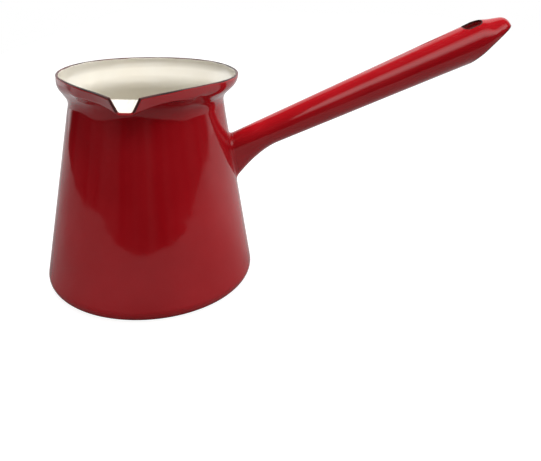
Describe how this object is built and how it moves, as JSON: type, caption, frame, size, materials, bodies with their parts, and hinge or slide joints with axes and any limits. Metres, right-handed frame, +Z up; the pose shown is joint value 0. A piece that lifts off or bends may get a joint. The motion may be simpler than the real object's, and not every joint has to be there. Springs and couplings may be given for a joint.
{
  "type": "enamelled coffee pot",
  "caption": "Tapered enamelled steel coffee pot with a flared rim, a pulled-out pouring beak and a long slanting hollow handle with a hanging slot.",
  "frame": {"origin": "middle of the flat base, on the table", "axes": "+Z up along the axis of the pot, +X the way the handle points, -Y the way the beak pours"},
  "size_m": [0.2059, 0.1041, 0.1213],
  "materials": {
    "red_enamel": "glossy fired enamel on steel sheet",
    "cream_enamel": "glossy fired enamel",
    "dark_enamel": "thin dark enamel on cut edges"
  },
  "bodies": {
    "root": {"pot_body": "red_enamel", "pot_lining": "cream_enamel", "rim_edge": "dark_enamel", "handle_tube": "red_enamel", "handle_seam": "red_enamel", "handle_end_edge": "dark_enamel", "slot_edge": "dark_enamel", "handle_root_bead": "red_enamel"}
  },
  "joints": []
}
